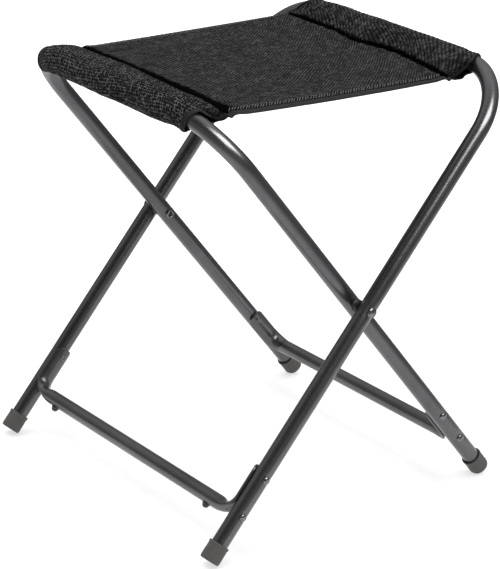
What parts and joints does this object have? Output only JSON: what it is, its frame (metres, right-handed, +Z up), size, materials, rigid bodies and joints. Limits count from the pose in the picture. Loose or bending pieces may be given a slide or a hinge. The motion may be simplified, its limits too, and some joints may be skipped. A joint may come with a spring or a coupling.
{
  "type": "camp stool",
  "caption": "Folding camp stool: two crossed U-shaped tube frames hinged as scissors, a brace low between each pair of legs, a fabric seat with padded sleeves on the top bars, rubber feet.",
  "frame": {"origin": "on the floor under the middle of the stool, below the pivot line", "axes": "+Z up; Y along the pivot line and the two top bars; the outer frame's bar is at +X and its feet at -X"},
  "size_m": [0.3974, 0.4158, 0.4701],
  "materials": {
    "frame_paint": "dark anthracite gloss paint on steel tube",
    "brace_paint": "dark anthracite gloss paint on steel tube",
    "foot_rubber": "matt dark grey moulded rubber",
    "rivet_steel": "dark plated steel, bright where worn",
    "spacer_plastic": "black nylon",
    "button_plastic": "black satin plastic",
    "seat_mesh": "black woven polyester with a fine diagonal rib",
    "sleeve_knit": "black padded knit with open cells",
    "hem_tape": "black folded hem with a row of stitches",
    "pad_foam": "grey soft foam"
  },
  "bodies": {
    "outer_frame": {"outer_frame_tube": "frame_paint", "outer_brace": "brace_paint", "foot_cap_outer_near": "foot_rubber", "foot_cap_outer_far": "foot_rubber", "pivot_rivet_near": "rivet_steel", "pivot_rivet_far": "rivet_steel", "pivot_spacer_near": "spacer_plastic", "pivot_spacer_far": "spacer_plastic", "brace_button_near": "button_plastic", "brace_button_far": "button_plastic", "outer_brace_rivet_near_upper": "rivet_steel", "outer_brace_rivet_near_lower": "rivet_steel", "outer_brace_rivet_far_upper": "rivet_steel", "outer_brace_rivet_far_lower": "rivet_steel"},
    "inner_frame": {"inner_frame_tube": "frame_paint", "inner_brace": "brace_paint", "foot_cap_inner_near": "foot_rubber", "foot_cap_inner_far": "foot_rubber", "inner_brace_rivet_near_upper": "rivet_steel", "inner_brace_rivet_near_lower": "rivet_steel", "inner_brace_rivet_far_upper": "rivet_steel", "inner_brace_rivet_far_lower": "rivet_steel"},
    "seat_left": {"seat_sleeve_left": "sleeve_knit", "foam_pad_left": "pad_foam", "seat_panel_left": "seat_mesh", "seat_hem_near_left": "hem_tape", "seat_hem_far_left": "hem_tape"},
    "seat_right": {"seat_sleeve_right": "sleeve_knit", "foam_pad_right": "pad_foam", "seat_panel_right": "seat_mesh", "seat_hem_near_right": "hem_tape", "seat_hem_far_right": "hem_tape"}
  },
  "joints": [
    {"name": "fold", "type": "hinge", "parent": "outer_frame", "child": "inner_frame", "pos_m": [0, 0, 0.237], "axis": [0, 1, 0], "range_deg": [0, 70]},
    {"name": "seat_swing", "type": "hinge", "parent": "inner_frame", "child": "seat_left", "pos_m": [-0.18109, 0, 0.45707], "axis": [0, 1, 0], "range_deg": [0, 48], "deforming": ["seat_sleeve_left", "foam_pad_left", "seat_panel_left", "seat_hem_near_left", "seat_hem_far_left"]},
    {"name": "seat_crease", "type": "hinge", "parent": "seat_left", "child": "seat_right", "pos_m": [0, 0, 0.45707], "axis": [0, -1, 0], "range_deg": [0, 165.98], "deforming": ["seat_sleeve_right", "foam_pad_right", "seat_panel_right", "seat_hem_near_right", "seat_hem_far_right"]}
  ],
  "couplings": [
    {"joint": "seat_swing", "follows": "fold", "ratio": 0.68552},
    {"joint": "seat_crease", "follows": "fold", "ratio": 2.371}
  ]
}
